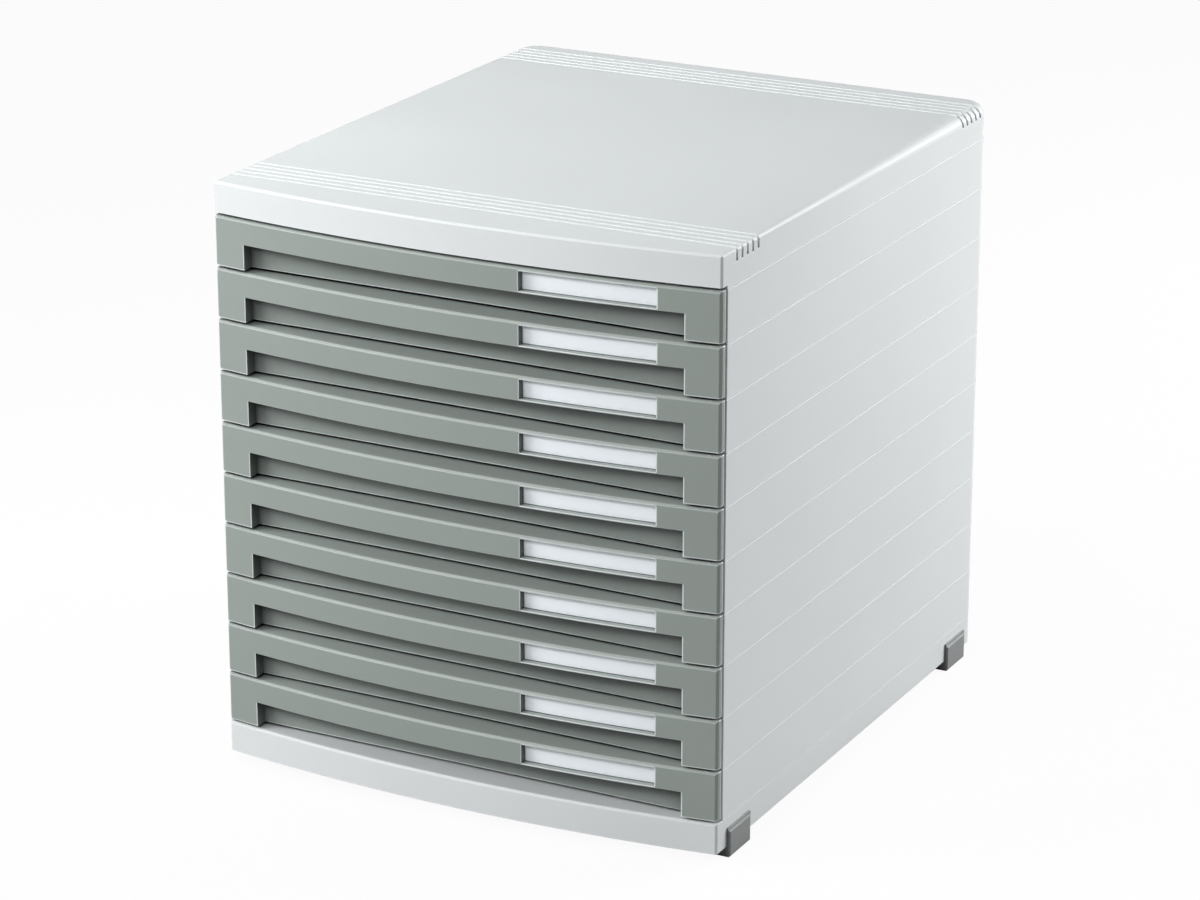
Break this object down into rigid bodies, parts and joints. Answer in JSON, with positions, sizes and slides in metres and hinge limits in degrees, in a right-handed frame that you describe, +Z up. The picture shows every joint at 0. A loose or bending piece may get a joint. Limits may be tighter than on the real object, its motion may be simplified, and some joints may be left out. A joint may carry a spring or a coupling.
{
  "type": "multi-drawer cabinet",
  "caption": "Desk cabinet of stacked moulded levels with closed bow-fronted drawers for A4 sheets, each pulled by a finger bar with a label window, on low clip-on feet.",
  "frame": {"origin": "under the middle of the overall box, at the level of the soles of the feet", "axes": "+Z up; the drawers open towards -Y; +X is the right-hand side as one faces the drawers"},
  "size_m": [0.2788, 0.33, 0.3055],
  "materials": {
    "casing_plastic": "satin",
    "drawer_plastic": "satin",
    "foot_plastic": "matte",
    "label_card": "matte",
    "clear_window": "gloss"
  },
  "bodies": {
    "casing": {"base_frame": "casing_plastic", "top_cover": "casing_plastic", "casing_level_01": "casing_plastic", "casing_level_02": "casing_plastic", "casing_level_03": "casing_plastic", "casing_level_04": "casing_plastic", "casing_level_05": "casing_plastic", "casing_level_06": "casing_plastic", "casing_level_07": "casing_plastic", "casing_level_08": "casing_plastic", "casing_level_09": "casing_plastic", "casing_level_10": "casing_plastic", "foot_front_left": "foot_plastic", "foot_front_right": "foot_plastic", "foot_rear_left": "foot_plastic", "foot_rear_right": "foot_plastic"},
    "drawer_01_body": {"drawer_01": "drawer_plastic", "label_card_01": "label_card", "label_window_01": "clear_window"},
    "drawer_02_body": {"drawer_02": "drawer_plastic", "label_card_02": "label_card", "label_window_02": "clear_window"},
    "drawer_03_body": {"drawer_03": "drawer_plastic", "label_card_03": "label_card", "label_window_03": "clear_window"},
    "drawer_04_body": {"drawer_04": "drawer_plastic", "label_card_04": "label_card", "label_window_04": "clear_window"},
    "drawer_05_body": {"drawer_05": "drawer_plastic", "label_card_05": "label_card", "label_window_05": "clear_window"},
    "drawer_06_body": {"drawer_06": "drawer_plastic", "label_card_06": "label_card", "label_window_06": "clear_window"},
    "drawer_07_body": {"drawer_07": "drawer_plastic", "label_card_07": "label_card", "label_window_07": "clear_window"},
    "drawer_08_body": {"drawer_08": "drawer_plastic", "label_card_08": "label_card", "label_window_08": "clear_window"},
    "drawer_09_body": {"drawer_09": "drawer_plastic", "label_card_09": "label_card", "label_window_09": "clear_window"},
    "drawer_10_body": {"drawer_10": "drawer_plastic", "label_card_10": "label_card", "label_window_10": "clear_window"}
  },
  "joints": [
    {"name": "drawer_01_slide", "type": "slide", "parent": "casing", "child": "drawer_01_body", "axis": [0, -1, 0], "range_m": [0, 0.24]},
    {"name": "drawer_02_slide", "type": "slide", "parent": "casing", "child": "drawer_02_body", "axis": [0, -1, 0], "range_m": [0, 0.24]},
    {"name": "drawer_03_slide", "type": "slide", "parent": "casing", "child": "drawer_03_body", "axis": [0, -1, 0], "range_m": [0, 0.24]},
    {"name": "drawer_04_slide", "type": "slide", "parent": "casing", "child": "drawer_04_body", "axis": [0, -1, 0], "range_m": [0, 0.24]},
    {"name": "drawer_05_slide", "type": "slide", "parent": "casing", "child": "drawer_05_body", "axis": [0, -1, 0], "range_m": [0, 0.24]},
    {"name": "drawer_06_slide", "type": "slide", "parent": "casing", "child": "drawer_06_body", "axis": [0, -1, 0], "range_m": [0, 0.24]},
    {"name": "drawer_07_slide", "type": "slide", "parent": "casing", "child": "drawer_07_body", "axis": [0, -1, 0], "range_m": [0, 0.24]},
    {"name": "drawer_08_slide", "type": "slide", "parent": "casing", "child": "drawer_08_body", "axis": [0, -1, 0], "range_m": [0, 0.24]},
    {"name": "drawer_09_slide", "type": "slide", "parent": "casing", "child": "drawer_09_body", "axis": [0, -1, 0], "range_m": [0, 0.24]},
    {"name": "drawer_10_slide", "type": "slide", "parent": "casing", "child": "drawer_10_body", "axis": [0, -1, 0], "range_m": [0, 0.24]}
  ]
}
